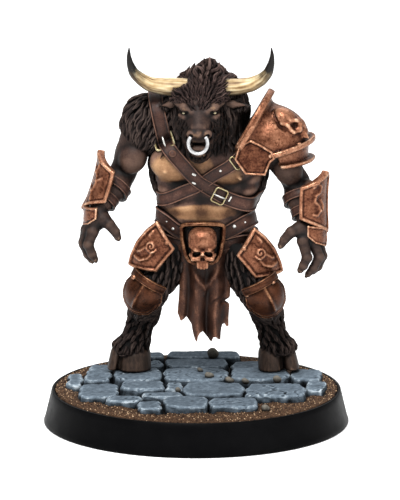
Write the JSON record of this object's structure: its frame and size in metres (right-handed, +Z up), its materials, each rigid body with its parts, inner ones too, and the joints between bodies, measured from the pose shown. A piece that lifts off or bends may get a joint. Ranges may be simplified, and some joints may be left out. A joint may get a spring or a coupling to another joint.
{
  "type": "minotaur miniature",
  "caption": "Standing horned bull-headed warrior figure in part armour, loincloth and straps, on a round tapered base with a paved, sanded top.",
  "frame": {"origin": "centre of the base's flat underside", "axes": "+Z up from the base to the horns, -Y the way the figure faces, +X to the figure's left"},
  "size_m": [0.05, 0.05, 0.0631],
  "materials": {
    "base_black": "satin black plastic",
    "stone": "blue-grey paint with paler edges",
    "sand": "glued brown sand",
    "hide": "matt dark brown paint",
    "belly": "matt tan paint",
    "fur": "matt black-brown paint, paler on the raised hairs",
    "horn": "cream paint, streaked, black tips",
    "hoof": "matt grey-brown paint, streaked",
    "bronze": "worn bronze paint",
    "leather": "dark brown leather paint, paler edges",
    "cloth": "matt red-brown paint",
    "brass": "bright brass paint",
    "silver": "bright silver paint",
    "eye": "glossy yellow paint"
  },
  "bodies": {
    "root": {"minotaur_figure": "hide", "paving_insert": "stone", "round_base": "base_black"}
  },
  "joints": []
}
